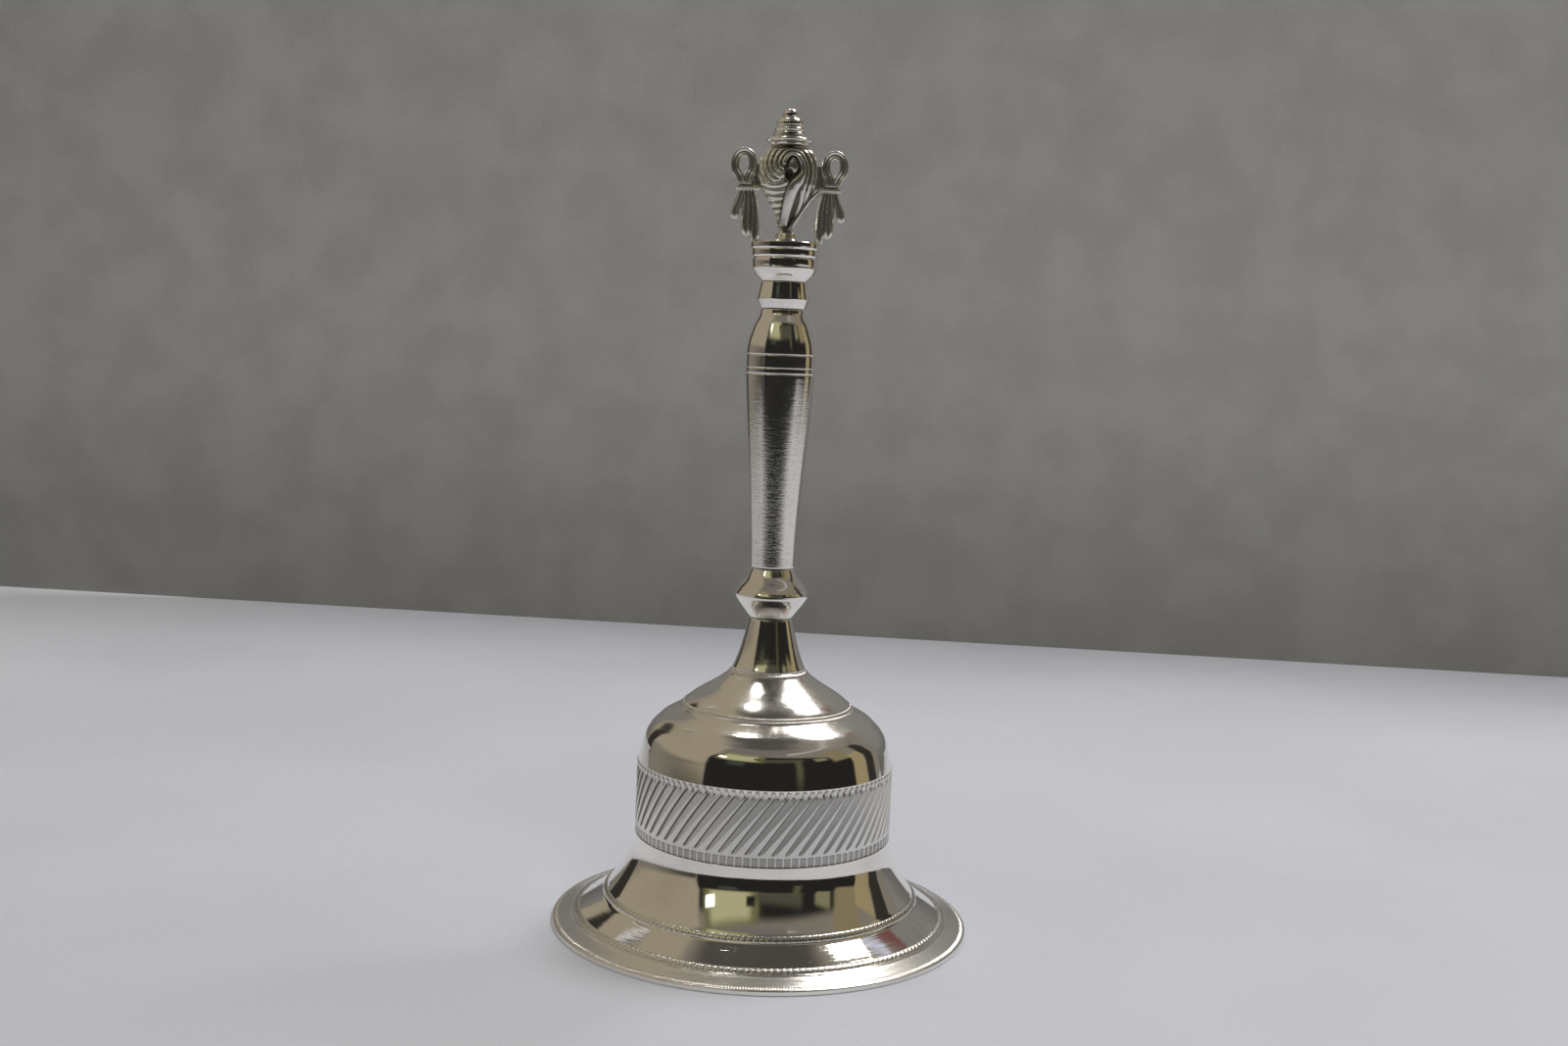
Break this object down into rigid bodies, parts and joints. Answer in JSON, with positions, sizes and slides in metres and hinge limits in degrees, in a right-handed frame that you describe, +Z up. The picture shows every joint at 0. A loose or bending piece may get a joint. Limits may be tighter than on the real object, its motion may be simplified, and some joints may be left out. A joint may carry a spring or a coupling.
{
  "type": "hand bell",
  "caption": "Puja hand bell: flared bell cup with beaded lines and a fluted band, turned stacked handle, conch and ribbon finial, and a clapper hung on a loose link.",
  "frame": {"origin": "centre of the rim's underside, on the plane the bell stands on", "axes": "+Z up along the bell's axis to the tip of the cap; X sideways through the two ribbons; the conch's opening faces -Y"},
  "size_m": [0.078, 0.078, 0.1514],
  "materials": {
    "silver_plate": "bright plated metal, taken to be silver plate on brass, slightly warm, with turning marks on the handle and fine wear",
    "brass": "plain turned brass, dulled",
    "steel": "plain drawn wire and rod, lightly oxidised"
  },
  "bodies": {
    "bell": {"bell_shell": "silver_plate", "neck_cone": "silver_plate", "lower_knob": "silver_plate", "grip": "silver_plate", "upper_collar": "silver_plate", "finial_cup": "silver_plate", "conch": "silver_plate", "ribbon_left": "silver_plate", "ribbon_right": "silver_plate", "finial_cap": "silver_plate", "tie_rod": "steel", "crown_washer": "brass", "eye_nut": "brass"},
    "link": {"clapper_link": "steel"},
    "clapper": {"clapper_rod": "brass", "clapper_ball": "brass"}
  },
  "joints": [
    {"name": "link_swing", "type": "hinge", "parent": "bell", "child": "link", "pos_m": [0, 0, 0.0364], "axis": [1, 0, 0], "range_deg": [-12, 12]},
    {"name": "clapper_swing", "type": "hinge", "parent": "link", "child": "clapper", "pos_m": [0, 0, 0.03365], "axis": [0, 1, 0], "range_deg": [-40, 40]}
  ]
}
